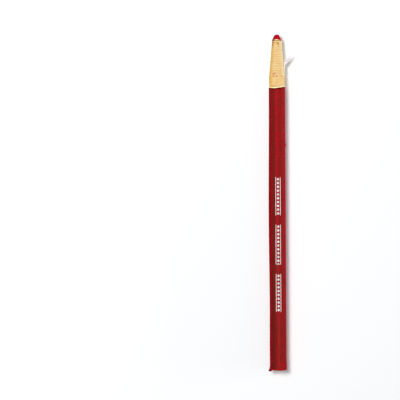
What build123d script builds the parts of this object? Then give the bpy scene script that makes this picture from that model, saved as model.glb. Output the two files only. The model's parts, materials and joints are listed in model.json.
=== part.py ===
"""China marker: a wax core wound in paper turns, with a red cover and a pull string.

The marker lies along X with its point towards +X, on the plane Z = 0.
The origin is under the middle of its length. Sizes are in millimetres, angles in degrees.
"""

import os
from math import cos, degrees, radians, sin, sqrt, tan

from build123d import *

os.makedirs("parts", exist_ok=True)

# Wax core
overall_length = 177.8
core_diameter = 4.8
point_length = 3.1
point_flat_diameter = 1.9
point_rounding = 0.5

# Paper turns, counted from the core outwards
turn_count = 16
paper_thickness = 0.10
glue_film = 0.01
mouth_setback = 3.0
turn_step = 1.265

# Red cover, one turn of a thicker sheet with a lapped seam and a slanting torn edge
cover_thickness = 0.17
cover_setback = 27.9
cover_slant = 7.0
lap_width = 2.6
lap_ramp = 0.9
lap_edge_angle = 12.0

# Rows of short slits, where the cover tears off in bands
band_length = 5.0
slits_per_row = 6
slit_length = 1.3
slit_width = 0.18
first_slit_angle = 29.0
bared_row_gap = 0.6

# Pull string, pressed flat in a channel between the turns
turns_under_string = 12
turns_beside_string = 3
string_width = 1.5
channel_clearance = 0.04

# Free end of the string, which swings at a fold just past the turn that covers the channel
bared_string_length = 6.8
fold_diameter = 1.0
fold_clearance = 0.08
tail_diameter = 0.9
tail_first_run = 3.0
tail_last_run = 2.9
tail_angle = 43.0
tail_droop = 7.0
tail_rounding = 0.3

# Sizes that follow from the driving ones
core_radius = core_diameter / 2
turn_pitch = paper_thickness + glue_film
cover_inner_radius = core_radius + turn_count * turn_pitch + glue_film
cover_radius = cover_inner_radius + cover_thickness
axis_height = cover_radius
point_x = overall_length / 2
butt_x = -overall_length / 2
cover_front_x = point_x - cover_setback
core_axis = Axis((0, 0, axis_height), (1, 0, 0))
butt_plane = Plane.YZ.offset(butt_x)


def turn_inner_radius(turn):
    return core_radius + glue_film + turn * turn_pitch


def turn_front_x(turn):
    return point_x - mouth_setback - turn * turn_step


def slit_row_plane(row_x):
    """The plane at the back of a row of slits, which are cut from it towards the point."""
    return Plane.YZ.offset(row_x - slit_width / 2)


def draw_slits(radius, sheet_thickness):
    """The slits of one row, spread evenly round the barrel and deeper than their sheet."""
    with Locations((0, axis_height)):
        with PolarLocations(radius, slits_per_row, start_angle=first_slit_angle):
            Rectangle(4 * sheet_thickness, slit_length)


def write_piece(piece, name):
    piece.label = name
    export_step(piece, f"parts/{name}.step")


# The core runs the whole length and ends in a blunt cone with a rounded rim.
with BuildPart() as wax_core:
    with BuildSketch(Plane.XZ):
        with BuildLine():
            Polyline(
                (butt_x, axis_height),
                (butt_x, axis_height + core_radius),
                (point_x - point_length, axis_height + core_radius),
                (point_x, axis_height + point_flat_diameter / 2),
                (point_x, axis_height),
                close=True,
            )
        make_face()
    revolve(axis=core_axis)
    point_rim = wax_core.edges().filter_by(GeomType.CIRCLE).sort_by(Axis.X)[-1]
    fillet(point_rim, radius=point_rounding)
write_piece(wax_core.part, "wax_core")

# The flat string fills a channel that a few turns leave open, over one turn and under another.
roof_turn = turns_under_string + turns_beside_string
channel_floor_radius = turn_inner_radius(turns_under_string) - glue_film
channel_roof_radius = turn_inner_radius(roof_turn)
channel_width = string_width + 2 * channel_clearance

# Each turn stops one step short of the turn below it, which makes the stepped paper cone.
for turn in range(turn_count):
    inner_radius = turn_inner_radius(turn)
    outer_radius = inner_radius + paper_thickness
    with BuildPart() as paper_turn:
        with BuildSketch(butt_plane):
            with Locations((0, axis_height)):
                Circle(outer_radius)
                Circle(inner_radius, mode=Mode.SUBTRACT)
            if turns_under_string <= turn < roof_turn:
                with Locations((-outer_radius, axis_height)):
                    Rectangle(outer_radius, channel_width, mode=Mode.SUBTRACT)
        extrude(amount=turn_front_x(turn) - butt_x)
        if turn == turn_count - 1:
            with BuildSketch(slit_row_plane(cover_front_x + bared_row_gap)):
                draw_slits(inner_radius, paper_thickness)
            extrude(amount=slit_width, mode=Mode.SUBTRACT)
    write_piece(paper_turn.part, f"paper_turn_{turn + 1:02d}")

# The cover's free edge laps over its own start and slopes down to it on the far side.
lap_sweep = degrees(lap_width / cover_radius)
ramp_sweep = degrees(lap_ramp / cover_radius)
lap_radius = cover_radius + cover_thickness
sheet_middle_radius = cover_radius - cover_thickness / 2
row_count = int((cover_front_x - butt_x) / band_length - 0.5)
row_planes = [slit_row_plane(cover_front_x - band_length * (row + 1)) for row in range(row_count)]
slant_direction = (cos(radians(cover_slant)), sin(radians(cover_slant)), 0)
slant_reach = lap_radius * tan(radians(cover_slant))

with BuildPart() as red_cover:
    with BuildSketch(butt_plane):
        with Locations((0, axis_height)):
            Circle(cover_radius)
        with BuildLine():
            lap_top = CenterArc((0, axis_height), lap_radius, lap_edge_angle, lap_sweep)
            lap_base = CenterArc(
                (0, axis_height), sheet_middle_radius, lap_edge_angle, lap_sweep + ramp_sweep
            )
            Line(lap_base @ 0, lap_top @ 0)
            Line(lap_base @ 1, lap_top @ 1)
        make_face()
        with Locations((0, axis_height)):
            Circle(cover_inner_radius, mode=Mode.SUBTRACT)
    extrude(amount=cover_front_x + slant_reach - butt_x)
    split(bisect_by=Plane((cover_front_x, 0, 0), z_dir=slant_direction), keep=Keep.BOTTOM)
    with BuildSketch(*row_planes):
        draw_slits(cover_radius, cover_thickness)
    extrude(amount=slit_width, mode=Mode.SUBTRACT)
write_piece(red_cover.part, "red_cover")

# The string is as thick as its channel lets a flat strip of its width be.
string_inner_radius = channel_floor_radius + glue_film
string_outer_radius = sqrt(channel_roof_radius**2 - (string_width / 2) ** 2) - glue_film
string_thickness = string_outer_radius - string_inner_radius
string_middle_y = -(string_inner_radius + string_outer_radius) / 2
fold_x = turn_front_x(roof_turn) + bared_string_length
fold_y = -(channel_floor_radius + fold_clearance + fold_diameter / 2)

with BuildPart() as pull_string:
    with BuildSketch(butt_plane):
        with Locations((string_middle_y, axis_height)):
            SlotOverall(string_width, string_thickness, rotation=90)
    extrude(amount=fold_x - fold_diameter / 2 - fold_clearance - butt_x)
write_piece(pull_string.part, "pull_string")

# The free end is a round tail on a fold, whose axis stands across the flat string.
tail_start = Vector(fold_x, fold_y, axis_height)
first_heading = radians(tail_angle)
last_heading = radians(tail_angle - tail_droop)
tail_bend = tail_start + Vector(cos(first_heading), -sin(first_heading)) * tail_first_run
tail_end = tail_bend + Vector(cos(last_heading), -sin(last_heading)) * tail_last_run
tail_bend_radius = 0.45 * min(tail_first_run, tail_last_run) / tan(radians(tail_droop) / 2)

with BuildPart() as string_tail:
    with BuildSketch(Plane.XY.offset(axis_height)):
        with Locations((fold_x, fold_y)):
            Circle(fold_diameter / 2)
    extrude(amount=string_width / 2, both=True)
    with BuildLine() as tail_path:
        FilletPolyline(tail_start, tail_bend, tail_end, radius=tail_bend_radius)
    with BuildSketch(Plane(tail_path.line @ 0, z_dir=tail_path.line % 0)):
        Circle(tail_diameter / 2)
    sweep(path=tail_path.line)
    end_rim = string_tail.edges().filter_by(GeomType.CIRCLE).sort_by(Axis.Y)[0]
    fillet(end_rim, radius=tail_rounding)
write_piece(string_tail.part, "string_tail")

print(f"barrel diameter {2 * cover_radius:.2f}, axis height {axis_height:.3f}")
print(f"cover front {cover_front_x:.2f}, slit rows {row_count}")
print(f"string {string_width:.2f} by {string_thickness:.2f}, tail bend radius {tail_bend_radius:.1f}")
print(f"string fold at {fold_x:.3f}, {fold_y:.3f}, {axis_height:.3f}")
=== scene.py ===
# %% [markdown]
# # A peel-off china marker
# A china marker is a rod of soft wax wound in paper. Pulling its string tears the red cover along a row
# of slits, and one turn of paper after another comes off, which leaves a cone of small steps behind the
# point. The solids of the part are loaded first. They fix where everything is, and the main sizes are
# measured on them, so that a piece modelled here takes the place of its solid with no fitting.

# %% The fixed frame
import json
from math import atan2, cos, degrees, hypot, pi, radians, sin, tan
from random import Random

import bpy
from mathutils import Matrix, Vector


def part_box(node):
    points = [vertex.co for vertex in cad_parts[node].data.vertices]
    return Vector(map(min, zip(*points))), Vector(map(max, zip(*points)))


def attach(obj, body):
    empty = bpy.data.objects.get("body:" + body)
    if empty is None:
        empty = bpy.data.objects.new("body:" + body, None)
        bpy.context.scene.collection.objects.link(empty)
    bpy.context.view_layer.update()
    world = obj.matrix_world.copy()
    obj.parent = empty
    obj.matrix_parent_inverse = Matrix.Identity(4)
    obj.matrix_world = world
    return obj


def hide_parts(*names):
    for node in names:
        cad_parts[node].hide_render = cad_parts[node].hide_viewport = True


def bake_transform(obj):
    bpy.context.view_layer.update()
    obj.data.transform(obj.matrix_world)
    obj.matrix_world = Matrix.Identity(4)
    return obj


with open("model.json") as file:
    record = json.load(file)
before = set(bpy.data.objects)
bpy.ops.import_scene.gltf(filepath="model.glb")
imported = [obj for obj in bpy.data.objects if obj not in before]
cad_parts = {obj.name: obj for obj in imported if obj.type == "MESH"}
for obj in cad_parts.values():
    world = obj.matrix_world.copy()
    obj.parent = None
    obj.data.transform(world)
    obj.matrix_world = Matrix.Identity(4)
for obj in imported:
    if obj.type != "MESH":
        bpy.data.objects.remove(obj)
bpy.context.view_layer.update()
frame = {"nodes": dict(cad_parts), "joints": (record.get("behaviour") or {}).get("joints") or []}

MM = 0.001
core_low, core_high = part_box("wax_core")
axis_height = (core_low.z + core_high.z) / 2
core_radius = (core_high.z - core_low.z) / 2
point_x = core_high.x
butt_x = core_low.x
print(f"marker {(point_x - butt_x) / MM:.1f} mm long, axis {axis_height / MM:.2f} mm above the table")

# %% [markdown]
# ## The camera
# The marker was photographed from straight above, with its point at the top of the picture. A camera
# looks along its own -Z with +Y up, so turning it by -90 degrees about Z puts the point at the top, +Y
# on the left and the string on the right. The small roll is the tilt that the marker has in the
# picture. The lens follows from how much of the table is seen.

# %% Camera above the table
camera_distance = 730 * MM
seen_width = 212.4 * MM
camera_x = 1.30 * MM
camera_y = 41.2 * MM
camera_roll = radians(-0.32)

bpy.ops.object.select_all(action="DESELECT")
bpy.ops.object.camera_add(
    location=(camera_x, camera_y, axis_height + camera_distance),
    rotation=(0, 0, radians(-90) + camera_roll),
)
camera = bpy.context.object
camera.name = "camera"
camera.data.sensor_width = 36
camera.data.lens = camera.data.sensor_width * camera_distance / seen_width
bpy.context.scene.camera = camera
bpy.context.scene.view_settings.view_transform = "Standard"
print(f"lens {camera.data.lens:.0f} mm")

# %% [markdown]
# ## Shader maths
# A finish is easier to read as a formula than as a web of nodes. The first class below wraps one
# socket, and Python's own operators on it add Math nodes. The second is a sheet of nodes with one
# method that adds any other node: its settings go in first, and then the values or links of its
# sockets. The third makes a material and gives it the coordinates that the marker's finishes share.


# %% Values that can be reckoned with
class Reading:
    """One value on a sheet of nodes. Arithmetic on it adds Math nodes."""

    def __init__(self, sheet, socket):
        self.sheet = sheet
        self.socket = socket

    def math(self, operation, first, second=0.0):
        return self.sheet.node("Math", {"operation": operation}, {0: first, 1: second})

    def __add__(self, other):
        return self.math("ADD", self, other)

    def __sub__(self, other):
        return self.math("SUBTRACT", self, other)

    def __rsub__(self, other):
        return self.math("SUBTRACT", other, self)

    def __mul__(self, other):
        return self.math("MULTIPLY", self, other)

    def __truediv__(self, other):
        return self.math("DIVIDE", self, other)

    def __rtruediv__(self, other):
        return self.math("DIVIDE", other, self)

    def __pow__(self, other):
        return self.math("POWER", self, other)

    def __gt__(self, other):
        return self.math("GREATER_THAN", self, other)

    def __abs__(self):
        return self.math("ABSOLUTE", self)

    __radd__ = __add__
    __rmul__ = __mul__

    def larger(self, other):
        return self.math("MAXIMUM", self, other)

    def fraction(self):
        return self.math("FRACT", self)

    def ramp(self, zero_at, one_at):
        """A smooth rise from 0 at one value to 1 at the other, and level beyond both."""
        sockets = {"Value": self, "From Min": zero_at, "From Max": one_at}
        return self.sheet.node("MapRange", {"interpolation_type": "SMOOTHSTEP"}, sockets)

    def between(self, low, high, soft):
        """1 where the value lies between low and high, falling to 0 over the width soft."""
        return self.ramp(low - soft, low) * self.ramp(high + soft, high)


print("values ready")


# %% Sheets of nodes
class NodeSheet:
    """A node tree under construction."""

    # A Mix node has sockets for numbers, vectors and colours. These are its share and its colours.
    mix_inputs = (0, 6, 7)
    mix_output = 2

    def __init__(self, tree):
        self.tree = tree

    def node(self, kind, settings, sockets, output=0):
        """Any node: its type, then its settings, then the values or links of its sockets."""
        added = self.tree.nodes.new("ShaderNode" + kind)
        for setting, value in settings.items():
            setattr(added, setting, value)
        for socket, value in sockets.items():
            self.feed(added.inputs[socket], value)
        return Reading(self, added.outputs[output])

    def feed(self, socket, value):
        """Links a socket to a reading, or sets it to a plain value."""
        if isinstance(value, Reading):
            self.tree.links.new(value.socket, socket)
        else:
            socket.default_value = value

    def mix(self, share, below, above):
        """A colour, or a link to one, painted over another by a share from 0 to 1."""
        sockets = dict(zip(self.mix_inputs, (share, below, above)))
        return self.node("Mix", {"data_type": "RGBA"}, sockets, output=self.mix_output)

    def coats(self, ground, *layers):
        """Layers painted over a ground one after another, each a share and a colour."""
        for share, colour in layers:
            ground = self.mix(share, ground, colour)
        return ground

    def looked_at(self):
        """1 where a ray looks, directly, mirrored or through glass, and 0 where it gathers light."""
        rays = ("Is Camera Ray", "Is Glossy Ray", "Is Transmission Ray")
        seen, mirrored, through = (self.node("LightPath", {}, {}, output=ray) for ray in rays)
        return seen.larger(mirrored.larger(through))


print("node sheets ready")


# %% Finishes
class Finish(NodeSheet):
    """A material under construction, with the coordinates that the marker's finishes share."""

    def __init__(self, name):
        self.material = bpy.data.materials.new(name)
        self.material.use_nodes = True
        super().__init__(self.material.node_tree)
        self.shader = self.tree.nodes["Principled BSDF"]
        self.place = self.node("TexCoord", {}, {}, output="Object")
        split = {"Vector": self.place}
        self.x, self.y, z = (self.node("SeparateXYZ", {}, split, output=axis) for axis in "XYZ")
        self.height = z - axis_height
        self.angle = z.math("ARCTAN2", self.height, self.y)

    def sideways(self):
        """1 on the left of the barrel, 0 along its top and its underside, -1 on the right."""
        return self.angle.math("COSINE", self.angle)

    def grain(self, stretch, size, detail=3.0):
        """Noise whose spots are about one size across, drawn out along X, Y and Z by stretch."""
        spread = tuple(1 / (size * part) for part in stretch)
        drawn_out = self.node("VectorMath", {"operation": "MULTIPLY"}, {0: self.place, 1: spread})
        return self.node("TexNoise", {}, {"Vector": drawn_out, "Scale": 1.0, "Detail": detail})

    def marked(self, name):
        """A number that the vertices of the piece carry."""
        return self.node("Attribute", {"attribute_name": name}, {}, output="Fac")

    def relief(self, height, depth):
        """A bump map of a value, where 1 stands depth metres above 0."""
        sockets = {"Height": height, "Strength": 1.0, "Distance": depth}
        return self.node("Bump", {}, sockets, output="Normal")

    def surface(self, **sockets):
        """Feeds the shader's own sockets, named with _ for a space."""
        for name, value in sockets.items():
            self.feed(self.shader.inputs[name.replace("_", " ")], value)


def display_colour(red, green, blue):
    """A colour as a screen shows it, from 0 to 255, made linear for a shader by the sRGB formula."""
    levels = [level / 255 for level in (red, green, blue)]
    return tuple(v / 12.92 if v < 0.04045 else ((v + 0.055) / 1.055) ** 2.4 for v in levels) + (1.0,)


print("finishes ready")

# %% [markdown]
# ## The pull string
# The string is two plies of soft cotton yarn, pressed flat between the turns. It leaves its channel on
# the side of the cone, turns over and stands out as a short loose end that thins to a few fibres. A
# textured tube would look like wire, so every yarn is a thin strand of its own. The strands follow one
# smooth line, and their twist, flattening and taper are formulas of how far along that line they are.

# %% Route of the string
fold = Vector(frame["joints"][0]["pos_m"])
string_low, string_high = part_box("pull_string")
string_middle_y = (string_low.y + string_high.y) / 2
bared_shift = 0.10 * MM
bared_y = string_middle_y - bared_shift
cone_end_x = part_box("paper_turn_16")[1].x
last_in_channel = 3 * MM
first_bared = 2 * MM
before_fold = 1.2 * MM
tail_first_run = 3.0 * MM
tail_last_run = 2.9 * MM
tail_first_heading = radians(43)
tail_last_heading = radians(36)


def heading_out(angle):
    """A level direction, turned by an angle from the marker's point towards the string's side."""
    return Vector((cos(angle), -sin(angle), 0))


tail_bend = fold + tail_first_run * heading_out(tail_first_heading)
tail_end = tail_bend + tail_last_run * heading_out(tail_last_heading)
string_route = [
    Vector((butt_x, string_middle_y, axis_height)),
    Vector((cone_end_x - last_in_channel, string_middle_y, axis_height)),
    Vector((cone_end_x + first_bared, bared_y, axis_height)),
    Vector((fold.x - before_fold, bared_y, axis_height)),
    fold,
    tail_bend,
    tail_end,
]
print(f"{len(string_route)} points on the string's route")


# %% Smooth line of the string
def read_route(points, resolution):
    """Places along a smooth line that has the points as its control points."""
    curve = bpy.data.curves.new("string_route", "CURVE")
    curve.dimensions = "3D"
    spline = curve.splines.new("NURBS")
    spline.points.add(len(points) - 1)
    for knot, point in zip(spline.points, points):
        knot.co = (*point, 1)
    spline.order_u = 3
    spline.use_endpoint_u = True
    spline.resolution_u = resolution
    line = bpy.data.objects.new("string_route", curve)
    mesh = bpy.data.meshes.new_from_object(line)
    places = [vertex.co.copy() for vertex in mesh.vertices]
    bpy.data.objects.remove(line)
    bpy.data.curves.remove(curve)
    bpy.data.meshes.remove(mesh)
    return places


route = read_route(string_route, resolution=24)
lengths = [0.0]
for before, after in zip(route, route[1:]):
    lengths.append(lengths[-1] + (after - before).length)
fold_length = min(zip(route, lengths), key=lambda pair: (pair[0] - fold).length)[1]
print(f"string line {lengths[-1] / MM:.1f} mm, free end {(lengths[-1] - fold_length) / MM:.1f} mm")

# %% Section along the string
pressed_half_width = 0.66 * MM
loose_half_width = 1.12 * MM
tip_half_width = 0.16 * MM
pressed_half_depth = 0.07 * MM
bared_half_depth = 0.19 * MM
pressed_strand = 0.085 * MM
loose_strand = 0.12 * MM
tip_strand = 0.06 * MM
baring = (-6.6 * MM, -4.8 * MM)
loosening = (-1.4 * MM, 0.0)
turned_at_fold = radians(72)
turned_at_tip = radians(38)
inward_lean = 0.22


def rise(value, zero_at, one_at):
    """0 to 1 as the value goes from one bound to the other, and level beyond both."""
    return min(max((value - zero_at) / (one_at - zero_at), 0.0), 1.0)


def ease(share):
    return share * share * (3 - 2 * share)


def section_at(length):
    """Half width, half depth, strand radius, turn-over angle and lean at a length along the string."""
    past_fold = length - fold_length
    bared = ease(rise(past_fold, *baring))
    loose = ease(rise(past_fold, *loosening))
    frayed = rise(past_fold, 0.0, lengths[-1] - fold_length)
    half_width = pressed_half_width + loose * (loose_half_width - pressed_half_width)
    half_width += frayed * (tip_half_width - loose_half_width)
    half_depth = pressed_half_depth + bared * (bared_half_depth - pressed_half_depth)
    strand = pressed_strand + bared * (loose_strand - pressed_strand)
    strand += frayed * (tip_strand - loose_strand)
    turned = radians(90) - loose * turned_at_fold - frayed * turned_at_tip
    return half_width, half_depth, strand, turned, inward_lean * loose * (1 - frayed)


print(f"string {2 * pressed_half_width / MM:.2f} mm wide where it is pressed")

# %% Strands of two plies
plies = 2
outer_strands = 9
inner_strands = 4
inner_ring = 0.45
ply_half_width = 0.46
ply_half_depth = 0.9
ply_twist = 5.5 * MM
uneven_ends = 9
chance = Random(11)


def strand_place(step, across, along_ply):
    """A strand's centre at one step of the route, from its place in the section."""
    ahead = route[min(step + 1, len(route) - 1)] - route[max(step - 1, 0)]
    outwards = ahead.cross(Vector((0, 0, 1))).normalized()
    half_width, half_depth, strand, turned, lean = section_at(lengths[step])
    wide = outwards * cos(turned) + Vector((0, 0, sin(turned)))
    deep = Vector((0, 0, cos(turned))) - outwards * sin(turned)
    return route[step] + wide * (across - lean) * half_width + deep * along_ply * half_depth


def add_spline(curve, places, radii):
    spline = curve.splines.new("POLY")
    spline.points.add(len(places) - 1)
    for knot, place, radius in zip(spline.points, places, radii):
        knot.co = (*place, 1)
        knot.radius = radius


yarn = bpy.data.curves.new("cotton_string", "CURVE")
yarn.dimensions = "3D"
yarn.bevel_depth = 1.0
yarn.bevel_resolution = 1
yarn.use_fill_caps = True
for ply in range(plies):
    for ring, strands in ((1.0, outer_strands), (inner_ring, inner_strands)):
        for number in range(strands):
            first_angle = 2 * pi * number / strands + ply
            end_step = len(route) - 1 - chance.randrange(0, uneven_ends)
            places, radii = [], []
            for step in range(end_step + 1):
                spun = first_angle + 2 * pi * lengths[step] / ply_twist
                across = ply - 0.5 + ply_half_width * ring * cos(spun)
                places.append(strand_place(step, across, ply_half_depth * ring * sin(spun)))
                radii.append(section_at(lengths[step])[2])
            add_spline(yarn, places, radii)
print(f"{len(yarn.splines)} strands")

# %% Loose fibres
fibre_count = 46
fibre_radius = 0.014 * MM
fibre_taper = 0.09
fibre_stretches = 7
fibre_stretch = (0.12, 0.24)
fibre_steps = 26
fibre_bias = 0.6
splay = (-0.7, 0.7)
sway = (-0.35, 0.35)
sag = (-0.3, 0.2)


def chance_vector(*bounds):
    """A vector whose parts are drawn at random, each between two bounds."""
    return Vector([chance.uniform(low, high) for low, high in bounds])


fibre_radii = [fibre_radius * (1 - fibre_taper * stretch) for stretch in range(fibre_stretches + 1)]
first_free_step = next(step for step, length in enumerate(lengths) if length > fold_length)
for fibre in range(fibre_count):
    step = min(first_free_step + int(chance.random() ** fibre_bias * fibre_steps), len(route) - 2)
    place = strand_place(step, chance.uniform(-1, 1), chance.uniform(-1, 1))
    heading = (route[step + 1] - route[step]).normalized()
    heading += chance_vector(splay, splay, splay)
    places = [place]
    for stretch in range(fibre_stretches):
        heading += chance_vector(sway, sway, sag)
        place = place + heading.normalized() * chance.uniform(*fibre_stretch) * MM
        places.append(place)
    add_spline(yarn, places, fibre_radii)

cotton_string = bpy.data.objects.new("cotton_string", yarn)
bpy.context.scene.collection.objects.link(cotton_string)
bpy.ops.object.select_all(action="DESELECT")
cotton_string.select_set(True)
bpy.context.view_layer.objects.active = cotton_string
bpy.ops.object.convert(target="MESH")
cotton_string = bpy.context.object
print(f"cotton string with {fibre_count} loose fibres")

# %% [markdown]
# Undyed cotton is not quite white. It takes a little colour from the wax and the red cover, and the
# yarn is matt with a soft sheen, so the finish has pink streaks and a fine fibrous relief. A finished
# piece is settled: it is smoothed and painted, and it rides on its body in place of its solids. The
# string crosses the hinge, so it is left on no body, in place of its two solids.

# %% Cotton finish
cotton = Finish("cotton_yarn")
streak = cotton.grain((1.6, 1.6, 0.5), 0.9 * MM)
hair = cotton.grain((2.4, 2.4, 0.4), 0.09 * MM, detail=2.0)
undyed = cotton.mix(hair, display_colour(226, 218, 220), display_colour(250, 246, 248))
stained = cotton.mix(streak.ramp(0.52, 0.74) * 0.5, undyed, display_colour(224, 178, 176))
cotton.surface(Base_Color=stained, Roughness=0.9, Normal=cotton.relief(hair, 0.02 * MM))
cotton.surface(Sheen_Weight=0.3, Specular_IOR_Level=0.2)
print("cotton finish ready")


# %% Settling the string
def settle(piece, materials, body, nodes, crease=40):
    """Smooths a finished piece, paints it and lets it stand for its solids on its body."""
    bpy.ops.object.select_all(action="DESELECT")
    piece.select_set(True)
    bpy.context.view_layer.objects.active = piece
    bpy.ops.object.shade_smooth_by_angle(angle=radians(crease))
    piece.vertex_groups.clear()
    for material in materials:
        piece.data.materials.append(material)
    if body:
        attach(piece, body)
    if nodes:
        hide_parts(*nodes)
    print(f"{piece.name}: {len(piece.data.polygons)} faces")


settle(cotton_string, [cotton.material], None, ["pull_string", "string_tail"], crease=60)
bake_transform(cotton_string)

# %% [markdown]
# ## Tools for round pieces
# A round piece is drawn as a line along its side and spun about the marker's axis. What isn't round on
# it (a torn edge, a lifted corner, a raised spot) is a Displace modifier on a vertex group: the group
# says where, by weights from 0 to 1, and the modifier says how far. Each modifier is applied, so that a
# finished piece is a plain mesh at the origin.


# %% Drawing and spinning
merge_distance = 0.002 * MM


def draw_line(name, points):
    """A chain of edges through the points, extruded from one corner as it would be by hand."""
    bpy.ops.object.select_all(action="DESELECT")
    bpy.ops.mesh.primitive_plane_add(size=MM, location=points[0])
    line = bpy.context.object
    line.name = name
    line.data.name = name
    bpy.ops.object.transform_apply(location=True, rotation=True, scale=True)
    bpy.ops.object.mode_set(mode="EDIT")
    bpy.ops.mesh.merge(type="CENTER")
    for start, end in zip(points, points[1:]):
        step = Vector(end) - Vector(start)
        bpy.ops.mesh.extrude_vertices_move(TRANSFORM_OT_translate={"value": step})
    bpy.ops.object.mode_set(mode="OBJECT")
    return line


def side_point(x, radius, angle):
    """The point at a distance from the axis, where 0 is +Y and a quarter turn is straight up."""
    return (x, radius * cos(angle), axis_height + radius * sin(angle))


def spin_round(sweep, steps):
    """The selected line swept about the marker's axis. It leaves the last copy selected."""
    bpy.ops.mesh.spin(steps=steps, angle=sweep, center=(0, 0, axis_height), axis=(-1, 0, 0))


def face_outwards(piece):
    """Makes the faces agree, and flips them all where an open sheet came out facing the axis."""
    bpy.ops.mesh.select_all(action="SELECT")
    bpy.ops.mesh.normals_make_consistent(inside=False)
    bpy.ops.object.mode_set(mode="OBJECT")
    axis = Vector((0, 0, axis_height))
    outward_area = 0.0
    for face in piece.data.polygons:
        away = face.center - axis
        outward_area += face.area * (face.normal.y * away.y + face.normal.z * away.z)
    if outward_area < 0:
        bpy.ops.object.mode_set(mode="EDIT")
        bpy.ops.mesh.flip_normals()
        bpy.ops.object.mode_set(mode="OBJECT")


def spin_skin(line, sweep, steps):
    """A drawn line spun to a skin, merged where it meets, with its faces turned outwards."""
    bpy.ops.object.mode_set(mode="EDIT")
    bpy.ops.mesh.select_all(action="SELECT")
    spin_round(sweep, steps)
    bpy.ops.mesh.select_all(action="SELECT")
    bpy.ops.mesh.remove_doubles(threshold=merge_distance)
    face_outwards(line)


print("drawing and spinning ready")


# %% Pushing by vertex groups
def polar(place):
    """A place's x, its distance from the axis, and its angle: 0 is left, 90 up, 180 right."""
    y, z = place.y, place.z - axis_height
    return place.x, hypot(y, z), degrees(atan2(z, y)) % 360


def weigh(piece, group_name, weight_at):
    """A vertex group whose weights come from each vertex's x, distance from the axis and angle."""
    group = piece.vertex_groups.new(name=group_name)
    for vertex in piece.data.vertices:
        weight = weight_at(*polar(vertex.co))
        if weight > 0:
            group.add([vertex.index], min(weight, 1.0), "REPLACE")
    return group_name


def apply(piece, kind, **settings):
    """Adds one modifier and applies it."""
    bpy.context.view_layer.objects.active = piece
    modifier = piece.modifiers.new(kind.lower(), kind)
    for setting, value in settings.items():
        setattr(modifier, setting, value)
    bpy.ops.object.modifier_apply(modifier=modifier.name)


def push(piece, group, distance, direction="NORMAL"):
    """Moves a group outwards or along an axis by its weight times the distance."""
    apply(piece, "DISPLACE", vertex_group=group, strength=distance, mid_level=0, direction=direction)


def ruffle(piece, group, distance, size, direction="NORMAL"):
    """Moves a group to and fro by a cloudy pattern whose lumps have the given size."""
    clouds = bpy.data.textures.new(f"{piece.name}_{group}", "CLOUDS")
    clouds.noise_scale = size
    clouds.noise_depth = 2
    settings = {"texture": clouds, "texture_coords": "LOCAL", "mid_level": 0.5}
    apply(piece, "DISPLACE", vertex_group=group, strength=distance, direction=direction, **settings)


print("pushing ready")

# %% [markdown]
# ## The wax core
# The core is a rod whose end is worn to a blunt cone by writing. It is spun from a line like a turned
# part. The line has a rounded rim round the worn face and a slight bulge along the cone. A cloudy
# ruffle near the point then takes the machined look off, because soft wax gets dents and smears, and a
# push to the right sets the worn face a little off centre.

# %% Line along the wax
point_length = 3.1 * MM
worn_off = 0.11 * MM
rim_radius = 1.16 * MM
rim_rounding = 0.22 * MM
rim_steps = 5
cone_rings = 12
cone_bulge = 0.15 * MM
straight_after = 1.2 * MM
butt_edge_length = 0.15 * MM
butt_edge_depth = 0.10 * MM
tip_x = point_x - worn_off
cone_foot_x = point_x - point_length
rim_sweep = pi / 2 - atan2(core_radius - rim_radius, point_length)

core_line = [side_point(tip_x, share * (rim_radius - rim_rounding), 0) for share in (0, 0.35, 0.7)]
for step in range(rim_steps + 1):
    turned = rim_sweep * step / rim_steps
    rim_x = tip_x - rim_rounding * (1 - cos(turned))
    rim_reach = rim_radius - rim_rounding * (1 - sin(turned))
    core_line.append(side_point(rim_x, rim_reach, 0))
for ring in range(1, cone_rings + 1):
    share = ring / cone_rings
    ring_x = rim_x + share * (cone_foot_x - rim_x)
    ring_reach = rim_reach + share * (core_radius - rim_reach) + cone_bulge * sin(pi * share)
    core_line.append(side_point(ring_x, ring_reach, 0))
core_line += [
    side_point(cone_foot_x - straight_after, core_radius, 0),
    side_point(butt_x + butt_edge_length, core_radius, 0),
    side_point(butt_x, core_radius - butt_edge_depth, 0),
    side_point(butt_x, 0.5 * core_radius, 0),
    side_point(butt_x, 0, 0),
]
print(f"{len(core_line)} points along the wax")

# %% Worn wax point
core_steps = 72
dent_depth = 0.10 * MM
dent_size = 0.8 * MM
face_shift = 0.12 * MM

wax_rod = draw_line("wax_rod", core_line)
spin_skin(wax_rod, 2 * pi, core_steps)
worn = weigh(wax_rod, "worn", lambda x, r, angle: rise(x, point_x - 3.4 * MM, point_x - 1.8 * MM))
ruffle(wax_rod, worn, dent_depth, dent_size)
face = weigh(wax_rod, "face", lambda x, r, angle: rise(x, tip_x - 0.9 * MM, tip_x - 0.1 * MM))
push(wax_rod, face, -face_shift, direction="Y")
print(f"wax rod {len(wax_rod.data.vertices)} vertices")
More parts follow.
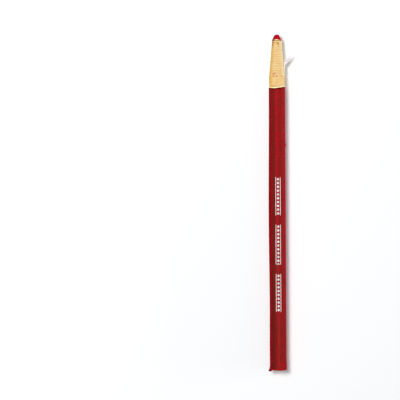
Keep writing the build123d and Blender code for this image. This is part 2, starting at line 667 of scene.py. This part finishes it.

# %% [markdown]
# Grease wax is a deep, slightly bluish red, smeared in patches. It has painted shade on the rim and on
# its left, painted light on its right, and a pinker painted highlight on top. Fine scratches run round
# the point, and the ridges between them are rougher.

# %% Wax finish
wax = Finish("red_wax")
smear = wax.grain((1.4, 1.0, 1.0), 0.8 * MM)
scratch = wax.grain((0.12, 1.0, 1.0), 0.5 * MM)
sideways = wax.sideways()
smeared = wax.mix(smear.ramp(0.35, 0.65), display_colour(142, 0, 6), display_colour(192, 0, 26))
# Painted shade on the left and on the rim, painted light on the right, and a pinker painted highlight on
# top.
shaded_left = sideways.ramp(0.5, 0.95)
lit_right = sideways.ramp(-0.3, -0.75)
shaded_rim = wax.x.ramp(tip_x - 0.85 * MM, tip_x - 0.3 * MM)
from_highlight = ((wax.x - (point_x - 1.3 * MM)) ** 2 + (wax.y + 0.4 * MM) ** 2) ** 0.5
wax_highlight = from_highlight.ramp(0.85 * MM, 0.3 * MM) * (wax.height > 0)
# Coats of painted shade, painted light and a painted highlight over the smeared wax.
wax_colour = wax.coats(
    smeared,
    (shaded_left.larger(shaded_rim) * 0.8, display_colour(128, 0, 2)),
    (lit_right * 0.5, display_colour(204, 0, 6)),
    (wax_highlight * 0.6, display_colour(210, 0, 52)),
)
wax.surface(Base_Color=wax_colour, Roughness=0.34 + 0.22 * scratch.ramp(0.45, 0.7))
wax.surface(Normal=wax.relief(scratch + 0.6 * smear, 0.03 * MM), Specular_IOR_Level=0.05)
settle(wax_rod, [wax.material], "marker", ["wax_core"])

# %% [markdown]
# ## The paper turns
# Sixteen turns of tan paper lie round the core, and each stops a step short of the turn below it. A
# stack of perfect tubes would look machined, so the front edge of each turn wanders a little and lifts
# off the turn below, as cut paper does. At the mouth the innermost turn reaches up round the wax on the
# left, and on the right the turns stand off it. Three turns leave room for the string: their line is
# spun only part of the way round. A turn is drawn without thickness, and Solidify gives it that of
# paper at the end.

# %% Slit rows
band_length = 5.0 * MM
slits_per_row = 26
slit_half_width = 0.02 * MM
round_steps = 8 * slits_per_row


def in_slit(angle):
    """Whether an angle in degrees lies on a slit. A slit is as long as the bridge beside it."""
    return (angle * slits_per_row / 360) % 1 < 0.5


def cut_slits(sheet, row_places):
    """Deletes the faces of a sheet that lie in the slits of its rows."""
    bpy.ops.object.mode_set(mode="EDIT")
    bpy.ops.mesh.select_mode(type="FACE")
    bpy.ops.mesh.select_all(action="DESELECT")
    bpy.ops.object.mode_set(mode="OBJECT")
    for face in sheet.data.polygons:
        x, radius, angle = polar(face.center)
        on_row = any(abs(x - row_x) < slit_half_width for row_x in row_places)
        face.select = on_row and in_slit(angle)
    bpy.ops.object.mode_set(mode="EDIT")
    bpy.ops.mesh.delete(type="FACE")
    bpy.ops.mesh.select_mode(type="VERT")
    bpy.ops.object.mode_set(mode="OBJECT")


print(f"{slits_per_row} slits a row")

# %% Front edges of the turns
turn_names = sorted(name for name in frame["nodes"] if name.startswith("paper_turn"))
turn_fronts = [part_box(name)[1].x for name in turn_names]
mouth_x = turn_fronts[0]
turn_step = mouth_x - turn_fronts[1]
edge_width = 0.55 * MM
edge_wander = 0.14 * MM
wander_size = 1.1 * MM
edge_waves = 0.06 * MM
wave_size = 0.9 * MM
edge_lift = 0.03 * MM
mouth_width = 1.5 * MM
mouth_reach = 0.40 * MM
mouth_drop = 0.20 * MM
mouth_flare = 0.25 * MM
right_side = 180


def around(value, middle, reach):
    """1 in the middle, falling smoothly to 0 at a reach to both sides of it."""
    return 0.5 + 0.5 * cos(pi * min(abs(value - middle) / reach, 1))


def loose_share(x, radius, angle):
    """How far the cone's paper stands off the wax: most at the mouth, on the right only."""
    along = 0.4 * rise(x, turn_fronts[8], turn_fronts[5]) + 0.6 * rise(x, turn_fronts[4], mouth_x)
    return along * around(angle, right_side, 80)


def mouth_share(angle):
    """How far the innermost turn reaches up round the wax: fully on the left, not on the right."""
    return 1 - rise(angle, 95, 135) + rise(angle, 300, 350)


def work_edge(turn, front, innermost):
    """Makes the front edge of a turn wander, wave and lift, and shapes the mouth of the cone."""
    edge = weigh(turn, "edge", lambda x, r, angle: rise(x, front - edge_width, front) ** 1.5)
    ruffle(turn, edge, edge_wander, wander_size, direction="X")
    ruffle(turn, edge, edge_waves, wave_size)
    push(turn, edge, edge_lift)
    push(turn, weigh(turn, "loosened", loose_share), mouth_flare)
    if innermost:
        mouth = weigh(
            turn, "mouth", lambda x, r, angle: rise(x, front - mouth_width, front) * mouth_share(angle)
        )
        push(turn, mouth, mouth_reach, direction="X")
        push(turn, edge, -mouth_drop, direction="X")


print(f"{len(turn_fronts)} front edges, {turn_step / MM:.2f} mm apart")

# %% Winding the turns
paper_thickness = 0.10 * MM
turn_steps = 120
least_gap = 0.03 * MM
bared_row_setback = 0.33 * MM
bared_row_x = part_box("red_cover")[1].x - bared_row_setback
edge_runs = [run * MM for run in (0, 0.05, 0.14, 0.3, 0.52, 0.85, 1.25, 1.7)]
bared_runs = [run * MM for run in (2.3, 3.0, 3.8, 4.6)]


def half_gap(radius, low):
    """Half the angle that a turn leaves open for the string, from the low corner of its box."""
    if radius + low.y <= least_gap:
        return 0.0
    return atan2((radius**2 - low.y**2) ** 0.5, -low.y)


def turn_places(front, outermost):
    """Where a turn's line has its points, from its front edge back to the butt."""
    places = [front - run for run in edge_runs]
    if outermost:
        places += [front - run for run in bared_runs]
        places += [bared_row_x + slit_half_width, bared_row_x - slit_half_width]
    return places + [butt_x + 1.0 * MM, butt_x]


def wind_turn(number, name):
    """One turn of paper in the place of its solid."""
    low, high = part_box(name)
    radius = (high.z - low.z) / 2
    gap = half_gap(radius, low)
    outermost = number == len(turn_names)
    line = [side_point(x, radius, pi + gap) for x in turn_places(high.x, outermost)]
    turn = draw_line(f"tan_turn_{number:02d}", line)
    spin_skin(turn, 2 * pi - 2 * gap, round_steps if outermost else turn_steps)
    if outermost:
        cut_slits(turn, [bared_row_x])
    work_edge(turn, high.x, innermost=number == 1)
    apply(turn, "SOLIDIFY", thickness=paper_thickness, offset=-1.0)
    return turn


turns = [wind_turn(number, name) for number, name in enumerate(turn_names, start=1)]
print(f"{len(turns)} turns wound")

# %% [markdown]
# The tan paper is thin and matt, with fibres that lie round the barrel. It is a little warmer where it
# was glued. Painted shade makes it browner on the left and painted light paler on the right, and each
# step has a darker edge, partly a brown stain from handling and partly painted shade of the step. Where
# bands of the cover came off, soft traces of red ink and a row of brown slit marks are left. Near the
# mouth it is dirty, with brown lines and smudges; its cut edge there is pale under a painted highlight,
# and a painted shadow lies in the gap beside the wax on each side. Under the cover it is painted a dark
# red-brown as painted shade, so that the slits look dark.

# %% Tan paper ground
paper = Finish("tan_paper")
fibre = paper.grain((0.16, 1.0, 1.0), 1.6 * MM)
mottle = paper.grain((1.0, 1.0, 1.0), 2.6 * MM)
tooth = paper.grain((1.0, 1.0, 1.0), 0.16 * MM, detail=2.0)
blotch = paper.grain((0.5, 1.0, 1.0), 1.1 * MM)
stipple = paper.grain((0.7, 1.0, 1.0), 0.4 * MM)
sideways = paper.sideways()

on_cone = paper.x.ramp(cone_end_x - 0.3 * MM, cone_end_x)
off_cone = 1 - on_cone
# Painted shade on the left of the paper, and painted light on its right.
shaded_left = sideways.ramp(0.35, 0.95)
lit_right = sideways.ramp(-0.45, -0.95)
# Each step's front edge is darker: partly a brown stain from handling, partly painted shade of the step.
behind_edge = ((mouth_x + 0.06 * MM - paper.x) / turn_step).fraction()
edge_stain_and_shade = behind_edge.ramp(0.34, 0.04) * on_cone * (0.45 + 0.8 * fibre)
pale = paper.mix(fibre.ramp(0.3, 0.7), display_colour(226, 190, 128), display_colour(240, 211, 156))
# Over the tan: random mottling and warmth under the cover, then painted shade on the left, painted light
# on the right, and the darker step edges.
toned_and_shaded = paper.coats(
    pale,
    (mottle.ramp(0.42, 0.7) * 0.5 + off_cone * 0.22, display_colour(226, 178, 108)),
    (shaded_left * 0.65, display_colour(210, 162, 62)),
    (lit_right * (0.3 + 0.5 * on_cone), display_colour(255, 236, 182)),
    (lit_right * off_cone * 0.5, display_colour(254, 194, 122)),
    (edge_stain_and_shade * 0.65, display_colour(200, 142, 72)),
)
print("tan paper ground ready")


# %% Ink, smudges and slit marks
def ink_trace(front, reach, strength):
    """Red ink behind a torn edge, in soft patches on the left of the upper side."""
    along = paper.x.between(front - reach, front + 0.1 * MM, 0.22 * MM)
    side = paper.y.between(0.2 * MM, 2.4 * MM, 0.5 * MM) * (paper.height > 0)
    return along * side * blotch.ramp(0.32, 0.64) * (0.4 + 0.9 * fibre) * strength


def soft_spot(x_mm, y_mm, size_mm):
    """A soft spot with a wandering outline, at a place on the upper side."""
    off_middle = ((paper.x - x_mm * MM) ** 2 + (paper.y - y_mm * MM) ** 2) ** 0.5
    away = off_middle / (size_mm * MM) + 2.4 * (stipple - 0.5)
    return away.ramp(1.0, 0.25) * (paper.height > 0)


ink = ink_trace(turn_fronts[-1] - 0.35 * MM, 0.2 * MM, 1.25)
ink = ink + ink_trace(turn_fronts[-2], 0.2 * MM, 0.9) + ink_trace(turn_fronts[-3], 0.15 * MM, 0.25)
smudges = soft_spot(83.9, -0.6, 0.6) * 1.1 + soft_spot(67.5, 2.0, 0.6) * 0.8
smudges = smudges + soft_spot(82.5, -0.8, 0.5) * 0.35 + soft_spot(66.5, -2.3, 0.6) * 0.4
slit_row = paper.x.between(bared_row_x - 0.16 * MM, bared_row_x + 0.16 * MM, 0.14 * MM)
slit_marks = (paper.angle * (slits_per_row / (2 * pi))).fraction().between(0.15, 0.4, 0.15)
print("ink, smudges and slit marks ready")

# %% Dirt, a pale rim and painted shadows at the mouth
dirt = paper.x.ramp(turn_fronts[4], mouth_x) * paper.y.ramp(1.1 * MM, 2.2 * MM)
dirt = dirt * (0.25 + 1.3 * behind_edge.ramp(0.7, 0.25))
on_top = paper.height.ramp(0.2 * MM, 2.0 * MM)
mouth_line = paper.x.between(mouth_x - 0.55 * MM, mouth_x - 0.3 * MM, 0.12 * MM)
mouth_line = mouth_line * on_top * blotch.ramp(0.26, 0.46)
next_line = paper.x.between(turn_fronts[1] - 0.25 * MM, turn_fronts[1] - 0.05 * MM, 0.15 * MM)
next_line = next_line * on_top * paper.y.ramp(-1.2 * MM, 0.8 * MM)
# The pale cut edge of the mouth, brightened by a painted highlight.
pale_rim_highlight = paper.x.ramp(mouth_x - 0.16 * MM, mouth_x) * paper.y.ramp(-1.3 * MM, -0.6 * MM)
pale_rim_highlight = pale_rim_highlight * paper.y.ramp(1.8 * MM, 1.3 * MM)
# Painted shadows in the gaps between the wax and the paper, one on each side of the mouth.
left_gap_shadow = soft_spot(86.1, 1.8, 0.9)
right_gap_shadow = soft_spot(85.7, -2.1, 0.6)
print("dirt at the mouth ready")

# %% Tan paper finish
# Under the cover the paper is painted dark red-brown as painted shade, so that the slits look dark.
shade_front = bared_row_x - 4.0 * MM
shaded_under_cover = paper.x.between(butt_x + 4.0 * MM, shade_front, 1.0 * MM)
paper_colour = paper.coats(
    toned_and_shaded,
    (ink, display_colour(196, 60, 52)),
    (dirt * blotch.ramp(0.26, 0.48), display_colour(138, 74, 12)),
    (smudges * blotch.ramp(0.1, 0.4), display_colour(152, 78, 36)),
    (slit_row * (0.15 + 0.75 * slit_marks), display_colour(172, 108, 44)),
    (next_line * 0.6, display_colour(170, 116, 50)),
    (mouth_line * 0.85, display_colour(150, 92, 36)),
    (pale_rim_highlight * 0.9, display_colour(255, 244, 186)),
    (left_gap_shadow, display_colour(36, 14, 2)),
    (right_gap_shadow * 0.8, display_colour(84, 44, 8)),
    (shaded_under_cover * 0.85, display_colour(104, 24, 20)),
)
paper.surface(Base_Color=paper_colour, Roughness=0.74 + 0.14 * tooth, Specular_IOR_Level=0.25)
paper.surface(Normal=paper.relief(fibre * 0.6 + tooth * 0.5, 0.035 * MM))
for turn, name in zip(turns, turn_names):
    settle(turn, [paper.material], "marker", [name])

# %% [markdown]
# ## The red cover
# The cover is one sheet that goes once round the barrel and laps over its own start. It is wound the
# same way here: the raised lap is spun first, a short ramp brings the line down to the barrel, and a
# second spin takes it round until it ends under the lap. Every five millimetres it has a row of slits,
# whose faces are deleted.

# %% Line along the cover
cover_low, cover_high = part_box("red_cover")
cover_radius = (cover_high.z - cover_low.z) / 2
cover_thickness = 0.17 * MM
cover_slant = radians(7)
slant_reach = (cover_radius + cover_thickness) * tan(cover_slant)
cover_front = cover_high.x - slant_reach
torn_edge_ahead = 0.42 * MM
torn_front = cover_front - slant_reach + torn_edge_ahead
row_count = 29
row_places = [cover_front - band_length * (row + 1) for row in range(row_count)]
row_offsets = [0.5 * MM, slit_half_width, -slit_half_width, -0.5 * MM, -2.5 * MM]
torn_runs = [run * MM for run in (0, 0.05, 0.13, 0.25, 0.42, 0.7, 1.1, 1.8, 3.0)]
butt_runs = [run * MM for run in (1.6, 1.1, 0.7, 0.4, 0.18, 0.06, 0)]

cover_places = [torn_front - run for run in torn_runs]
for row_x in row_places:
    cover_places += [row_x + offset for offset in row_offsets]
cover_places += [butt_x + run for run in butt_runs]
print(f"{len(cover_places)} points along the cover, {row_count} rows of slits")

# %% Winding the cover
lap_edge = 12.0
lap_steps = 20
lap_ramp = 11.9
lap_radius = cover_radius + cover_thickness
ramp_middle_radius = cover_radius + 0.45 * cover_thickness
step_angle = 360 / round_steps
lap_end = lap_edge + lap_steps * step_angle
rest_steps = round(360 / step_angle - lap_ramp / step_angle) - 1
ramp_top = Vector(side_point(0, lap_radius, radians(lap_end)))
ramp_middle = Vector(side_point(0, ramp_middle_radius, radians(lap_end + lap_ramp / 2)))
ramp_foot = Vector(side_point(0, cover_radius, radians(lap_end + lap_ramp)))

red_sheet = draw_line("red_sheet", [side_point(x, lap_radius, radians(lap_edge)) for x in cover_places])
bpy.ops.object.mode_set(mode="EDIT")
bpy.ops.mesh.select_all(action="SELECT")
spin_round(radians(lap_steps * step_angle), lap_steps)
for start, end in ((ramp_top, ramp_middle), (ramp_middle, ramp_foot)):
    bpy.ops.mesh.extrude_region_move(TRANSFORM_OT_translate={"value": end - start})
spin_round(radians(rest_steps * step_angle), rest_steps)
face_outwards(red_sheet)
cut_slits(red_sheet, row_places)
print(f"red sheet {len(red_sheet.data.polygons)} faces")

# %% [markdown]
# Handled paper is never quite round. The lap's free edge has come loose, most at the middle of the
# barrel, and its corner at the butt has lifted. The cut end is pressed wider on the right and reaches
# past the butt on top, the glue has let go in one spot on the right, and the slits have raised rims.
# Each of these is a weight function and one or two pushes. A ruffle then waves the rim at the butt,
# and a fainter one the whole sheet.

# %% Loose lap and lifted corner
lap_lift = 0.44 * MM
loose_lap_width = 2.0 * MM
corner_size = 1.9 * MM
corner_lift = 0.80 * MM
corner_curl = 0.70 * MM


def on_lap(radius, angle):
    """How far a vertex is from the lap's free edge, or None where it isn't on the lap."""
    if radius < cover_radius + 0.5 * cover_thickness:
        return None
    return radians(abs(angle - lap_edge)) * cover_radius


def corner_weight(x, radius, angle):
    """1 at the lap's free corner at the butt, 0 from a corner's size away and off the lap."""
    from_edge = on_lap(radius, angle)
    if from_edge is None:
        return 0.0
    return rise(x, butt_x + corner_size, butt_x) ** 1.5 * (1 - rise(from_edge, 1.5 * MM, 2.6 * MM))


def loose_lap(x, radius, angle):
    """How far the lap's edge stands off: most at the middle of the barrel, and again near the butt."""
    from_edge = on_lap(radius, angle)
    if from_edge is None:
        return 0.0
    stands_off = 0.73 * around(x, -7 * MM, 50 * MM) + 0.27 * rise(x, 57 * MM, 35 * MM)
    stands_off += 0.27 * rise(x, -55 * MM, -72 * MM)
    return stands_off * (1 - rise(from_edge, 0, loose_lap_width)) ** 1.3


print(f"lap stands off by up to {lap_lift / MM:.2f} mm")

# %% Cut end, raised spot and slit rims
butt_flare = 0.26 * MM
butt_overhang = 0.20 * MM
blister_x = 30.7 * MM
blister_size = 1.1 * MM
blister_height = 0.48 * MM
lip_height = 0.035 * MM


def flared_butt(x, radius, angle):
    """The cut end of the cover, which is pressed a little wider on the right."""
    return rise(x, butt_x + 8 * MM, butt_x) ** 2 * around(angle, right_side, 70)


def overhanging_butt(x, radius, angle):
    """The cut end of the cover, which reaches past the butt on the upper side."""
    return rise(x, butt_x + 1.6 * MM, butt_x) * around(angle, 105, 60)


def blister(x, radius, angle):
    """A small blister on the right, where the glue let go."""
    away = hypot(x - blister_x, radians(angle - right_side) * cover_radius)
    return (1 - rise(away, 0, blister_size)) ** 2


def slit_lip(x, radius, angle):
    """The rims of the slits, which the punch pushed up."""
    near_row = any(abs(x - row_x) < 1.5 * slit_half_width for row_x in row_places)
    return 1.0 if near_row and in_slit(angle) else 0.0


print(f"blister {blister_x / MM:.1f} mm ahead of the middle")

# %% Pushing the cover out of round
butt_rim_width = 1.3 * MM
butt_waves = 0.28 * MM
butt_wave_size = 2.0 * MM
barrel_waves = 0.05 * MM
barrel_wave_size = 5.0 * MM

lips = weigh(red_sheet, "lips", slit_lip)
corner = weigh(red_sheet, "corner", corner_weight)
push(red_sheet, weigh(red_sheet, "loose_lap", loose_lap), lap_lift)
push(red_sheet, lips, lip_height)
push(red_sheet, corner, corner_lift)
push(red_sheet, corner, -corner_curl, direction="X")
push(red_sheet, weigh(red_sheet, "blister", blister), blister_height)
push(red_sheet, weigh(red_sheet, "flared", flared_butt), butt_flare)
push(red_sheet, weigh(red_sheet, "overhang", overhanging_butt), -butt_overhang, direction="X")
butt_rim = weigh(red_sheet, "butt_rim", lambda x, r, angle: rise(x, butt_x + butt_rim_width, butt_x) ** 2)
ruffle(red_sheet, butt_rim, butt_waves, butt_wave_size)
barrel = weigh(red_sheet, "barrel", lambda x, r, angle: 1.0)
ruffle(red_sheet, barrel, barrel_waves, barrel_wave_size)
print("cover pushed out of round")

# %% [markdown]
# At the front the cover was torn off along a row of slits, so its edge slants and dips, has a tooth
# between each two slits, and is ragged. Before the tear, the vertices near it are marked, so that the
# finish can paint a band of shade that follows the edge.

# %% Torn front
tooth_reach = 0.12 * MM
slant_rise = 0.24 * MM
hollow_depth = 0.58 * MM
torn_width = 0.45 * MM
stretched_width = 4.2 * MM
ragged_size = 0.5 * MM
frayed_lift = 0.10 * MM
frayed_size = 0.7 * MM
dark_band = (1.15 * MM, 0.85 * MM)


def slant_share(angle):
    """How far the torn edge reaches forward: least on the left, most on the right."""
    return (0.5 - 0.5 * cos(radians(angle))) ** 2.5


def hollow_share(angle):
    """How far the torn edge falls back: most on the upper side, a little towards the left."""
    return around(angle, 72, 75) ** 0.7


def tooth_share(angle):
    return 0.5 + 0.5 * sin(radians(angle * slits_per_row))


def tear(sheet, front, slant, ragged):
    """Slants and hollows the front edge of a sheet and tears it between the slits."""

    def torn(x):
        return rise(x, front - torn_width, front) ** 1.6

    def stretched(x):
        return rise(x, front - stretched_width, front)

    slanted = weigh(sheet, "slanted", lambda x, r, angle: stretched(x) * slant_share(angle))
    hollowed = weigh(sheet, "hollowed", lambda x, r, angle: stretched(x) * hollow_share(angle))
    teeth = weigh(sheet, "teeth", lambda x, r, angle: torn(x) * tooth_share(angle))
    ragged_edge = weigh(sheet, "ragged", lambda x, r, angle: torn(x))
    push(sheet, slanted, slant, direction="X")
    push(sheet, hollowed, -hollow_depth, direction="X")
    ruffle(sheet, ragged_edge, ragged, ragged_size, direction="X")
    push(sheet, teeth, -tooth_reach, direction="X")
    ruffle(sheet, ragged_edge, frayed_lift, frayed_size)


def mark(piece, name, value_at):
    """A number on each vertex that a finish can read, from its x, distance from the axis and angle."""
    values = [value_at(*polar(vertex.co)) for vertex in piece.data.vertices]
    piece.data.attributes.new(name, "FLOAT", "POINT").data.foreach_set("value", values)


# The band behind the torn edge is marked for painted shade.
dark_from, dark_to = (torn_front - run for run in dark_band)
mark(red_sheet, "tear_shade", lambda x, r, angle: rise(x, dark_from, dark_to))
tear(red_sheet, torn_front, slant_rise, ragged=0.30 * MM)
print("cover torn")

# %% [markdown]
# Where the cover was torn, the sheet split and left a thin pale fringe in front of the red. The fringe
# is a narrow sheet of its own, wound and torn with the same functions, and a little more ragged. The
# same pale finish lines the inside of the cover, because the print is on its outside only.

# %% Torn fringe
fringe_reach = 0.52 * MM
fringe_slant_rise = slant_rise + 0.30 * MM
fringe_lift = 0.11 * MM
fringe_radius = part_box("paper_turn_16")[1].z - axis_height + fringe_lift
fringe_thickness = 0.07 * MM
fringe_front = torn_front + fringe_reach
fringe_runs = [run * MM for run in (0, 0.05, 0.12, 0.22, 0.36, 0.55, 0.9)]

fringe_line = [side_point(fringe_front - run, fringe_radius, pi) for run in fringe_runs]
fringe = draw_line("torn_fringe", fringe_line)
spin_skin(fringe, 2 * pi, 2 * round_steps)
tear(fringe, fringe_front, fringe_slant_rise, ragged=0.50 * MM)
apply(fringe, "SOLIDIFY", thickness=fringe_thickness, offset=-1.0)

cream = Finish("pale_paper")
shreds = cream.grain((1.0, 0.6, 0.6), 0.35 * MM)
dull_cream = display_colour(250, 230, 154)
bright_cream = display_colour(255, 248, 204)
torn_paper = cream.mix(shreds.ramp(0.3, 0.7), dull_cream, bright_cream)
cream.surface(Base_Color=torn_paper, Roughness=0.85, Normal=cream.relief(shreds, 0.06 * MM))
settle(fringe, [cream.material], "marker", [])

# %% [markdown]
# The red is a printed and lightly varnished paper whose fibres run along the barrel. Bands of painted
# light and shade run along it: a patchy painted highlight on top, redder and with painted glints towards
# the front, painted shade on the left flank, and on each side a painted shade line and a crimson painted
# rim light, brighter on the right. There is painted shade behind the tear, on the lifted corner and where
# the cover reaches past the butt, painted glints along the slit rows, and chips near the butt. Along the
# top runs a plain ornament in white: dots between two rules, in three groups.

# %% White ornament
ornament_groups = [(13.0 * MM, -7.0 * MM), (-12.0 * MM, -33.0 * MM), (-38.0 * MM, -58.0 * MM)]
rule_distance = 1.2 * MM
rule_half_width = 0.13 * MM
dot_pitch = 2.0 * MM
dot_radius = 0.60 * MM
edge_blur = 0.05 * MM


def white_ornament(red):
    """The share of white ink: rules and a row of dots along the top of the barrel."""
    from_rule = abs(abs(red.y) - rule_distance)
    rules = from_rule.ramp(rule_half_width + edge_blur, rule_half_width)
    share = 0.0
    for ahead, behind in ornament_groups:
        to_dot = (((ahead - red.x) / dot_pitch).fraction() - 0.5) * dot_pitch
        from_dot = (to_dot**2 + red.y**2) ** 0.5
        dots = from_dot.ramp(dot_radius + edge_blur, dot_radius)
        inside = red.x.between(behind, ahead, edge_blur)
        share = inside * rules.larger(dots) + share
    return share * (red.height > 0)


print(f"{len(ornament_groups)} groups of dots and rules")

# %% Bands of painted light and shade on the red print
red = Finish("red_paper")
lengthwise = red.grain((12.0, 1.0, 1.0), 0.32 * MM)
cloud = red.grain((2.0, 1.0, 1.0), 5.0 * MM)
pores = red.grain((1.0, 1.0, 1.0), 0.12 * MM, detail=2.0)
scuff_and_sheen = red.grain((0.7, 1.0, 1.0), 1.3 * MM)
chip_and_glint_noise = red.grain((1.3, 1.0, 1.0), 0.9 * MM)
fibres = lengthwise.ramp(0.3, 0.7)
patchy = 0.85 + 0.2 * cloud
sideways = red.sideways()
towards_front = red.x.ramp(-70 * MM, 20 * MM)
towards_butt = 1 - towards_front
right_edge = sideways + 0.09 * towards_butt

plain_red = red.mix(fibres, display_colour(122, 24, 21), display_colour(146, 33, 29))
highlight_red = red.mix(towards_front, display_colour(160, 42, 38), display_colour(178, 0, 28))
# Crimson painted rim light for each edge, brighter on the right.
left_rim_red = red.mix(fibres, display_colour(124, 2, 10), display_colour(148, 0, 12))
lit_right_rim_red = red.mix(fibres, display_colour(158, 2, 14), display_colour(190, 0, 20))
# A patchy painted highlight along the top of the barrel, redder towards the front.
highlight_stripe = (sideways - 0.16 * towards_front).between(-0.10, 0.05, 0.16)
highlight_stripe = highlight_stripe * (0.4 + 0.6 * scuff_and_sheen.ramp(0.38, 0.6)) * (0.55 + 0.2 * towards_front)
# Bright red flecks in the middle of the upper barrel: painted glints on the rough varnish.
glint_flecks = sideways.between(-0.45, 0.30, 0.10) * red.x.between(24 * MM, 58 * MM, 6 * MM)
# A line of painted shade on each side, just inside the painted rim light.
left_shade_line = sideways.between(0.58, 0.70, 0.10) * towards_butt
right_shade_line = right_edge.between(-0.68, -0.60, 0.08) * towards_butt
# Over the ground: darker random tone, painted shade on the left flank, then the painted highlight,
# glints, shade lines and rim light.
banded = red.coats(
    plain_red,
    (cloud.ramp(0.35, 0.7) * 0.5, display_colour(148, 18, 24)),
    (sideways.between(0.36, 0.8, 0.2) * 0.5, display_colour(90, 24, 18)),
    (highlight_stripe, highlight_red),
    (glint_flecks * chip_and_glint_noise.ramp(0.56, 0.64) * 0.6, display_colour(192, 6, 26)),
    (left_shade_line * 0.55, display_colour(78, 22, 12)),
    (sideways.ramp(0.69, 0.82) * patchy, left_rim_red),
    (right_shade_line * 0.45, display_colour(98, 18, 14)),
    (right_edge.ramp(-0.65, -0.77) * patchy, lit_right_rim_red),
)
print("bands of the red print ready")

# %% Wear, painted shade and painted glints on the red print
from_butt = red.x - butt_x
from_row = abs(((cover_front - red.x) / band_length + 0.5).fraction() - 0.5) * band_length
# Painted shade in a band behind the torn edge, except on the far right.
tear_shade = red.marked("tear_shade") * sideways.ramp(-0.9, -0.6)
# Bright red specks along the slit rows, stronger near the butt: painted glints where the raised rims
# catch light.
row_glints = from_row.ramp(0.4 * MM, 0.1 * MM) * scuff_and_sheen.ramp(0.46, 0.62)
near_butt = from_butt.ramp(7.0 * MM, 4.0 * MM)
chipped = from_butt.between(0.7 * MM, 3.2 * MM, 0.9 * MM)
chipped = chipped * red.y.between(-2.6 * MM, 0.7 * MM, 0.5 * MM)
cut_end = from_butt.ramp(0.7 * MM, 0.3 * MM) * red.y.ramp(4.1 * MM, 3.5 * MM)
# Painted shade on the lifted corner, and darker painted shade under the flap where the cover reaches past
# the butt.
corner_shade = from_butt.ramp(2.2 * MM, 1.2 * MM) * red.y.ramp(4.25 * MM, 4.6 * MM)
shade_past_end = from_butt.ramp(0.0, -0.2 * MM) * red.y.ramp(2.8 * MM, 3.6 * MM)
white_ink = white_ornament(red) * (0.72 + 0.35 * scuff_and_sheen.ramp(0.35, 0.6))
red_colour = red.coats(
    banded,
    (tear_shade * 0.9, display_colour(106, 0, 6)),
    (row_glints * (0.15 + 0.5 * near_butt), display_colour(192, 8, 28)),
    (chipped * chip_and_glint_noise.ramp(0.58, 0.64), display_colour(208, 10, 28)),
    (cut_end * 0.7, display_colour(178, 0, 14)),
    (corner_shade * 0.8, display_colour(96, 0, 8)),
    (shade_past_end * 0.85, display_colour(56, 0, 6)),
    (white_ink, display_colour(238, 226, 224)),
)
dulled = scuff_and_sheen.ramp(0.4, 0.75)
red.surface(Base_Color=red_colour, Roughness=0.46 + 0.16 * dulled, Specular_IOR_Level=0.025)
red.surface(Normal=red.relief(lengthwise * 0.5 + pores * 0.4, 0.03 * MM))
print("red paper finish ready")

# %% Finished cover
sheet_thickness = 0.15 * MM

for material in (red.material, cream.material):
    red_sheet.data.materials.append(material)
apply(red_sheet, "SOLIDIFY", thickness=sheet_thickness, offset=-1.0, material_offset=1)
settle(red_sheet, [], "marker", ["red_cover"])

# %% [markdown]
# ## Table and light
# The marker lies on a white table under soft studio light. A large lamp nearly overhead, a little to
# the left and towards the point, gives the soft shadow on the right. A low lamp from the right
# brightens that side of the barrel without filling the shadow, because it meets the table at a flat
# angle. Far from the marker the table glows more, and the world is white where it is looked at. Neither
# glow lights the marker beyond its faint reflections, so the background is white from every side at a
# plain level of light.

# %% White table
bpy.ops.object.select_all(action="DESELECT")
bpy.ops.mesh.primitive_plane_add(size=4, location=(0, 0, -0.02 * MM))
table = bpy.context.object
table.name = "table"
bpy.ops.object.transform_apply(location=True, rotation=True, scale=True)


def grey(level):
    return (level, level, level, 1.0)


white = Finish("white_table")
white.surface(Base_Color=grey(0.82), Roughness=0.9, Specular_IOR_Level=0.0)
far = ((white.x**2 + white.y**2) ** 0.5).ramp(0.12, 0.9)
glow = white.mix(white.looked_at(), grey(0.0), white.mix(far, grey(0.16), grey(0.85)))
emission = white.node("Emission", {}, {"Color": glow, "Strength": 1.0})
plain = Reading(white, white.shader.outputs[0])
both = white.node("AddShader", {}, {0: plain, 1: emission})
white.feed(white.tree.nodes["Material Output"].inputs["Surface"], both)
table.data.materials.append(white.material)
print("table ready")


# %% Lamps and world
def add_lamp(name, place, size, watts):
    """A soft lamp, of a width and a height, that looks at the middle of the marker."""
    bpy.ops.object.light_add(type="AREA", location=place)
    lamp = bpy.context.object
    lamp.name = name
    lamp.data.shape = "RECTANGLE"
    lamp.data.size, lamp.data.size_y = size
    lamp.data.energy = watts
    lamp.visible_camera = False
    lamp.rotation_euler = (Vector((0, 0, 0)) - Vector(place)).to_track_quat("-Z", "Y").to_euler()


add_lamp("overhead", place=(0.24, 0.38, 1.0), size=(0.36, 0.36), watts=11)
add_lamp("side", place=(0.05, -1.1, 0.12), size=(0.6, 0.14), watts=6)

world = bpy.data.worlds.new("studio")
bpy.context.scene.world = world
world.use_nodes = True
studio = NodeSheet(world.node_tree)
room_light = studio.node("Background", {}, {"Color": (0.84, 0.92, 1.0, 1.0), "Strength": 0.21})
backdrop = studio.node("Background", {}, {"Color": grey(1.0), "Strength": 1.0})
shown = studio.node("MixShader", {}, {0: studio.looked_at(), 1: room_light, 2: backdrop})
studio.feed(studio.tree.nodes["World Output"].inputs["Surface"], shown)
print("lamps and world ready")
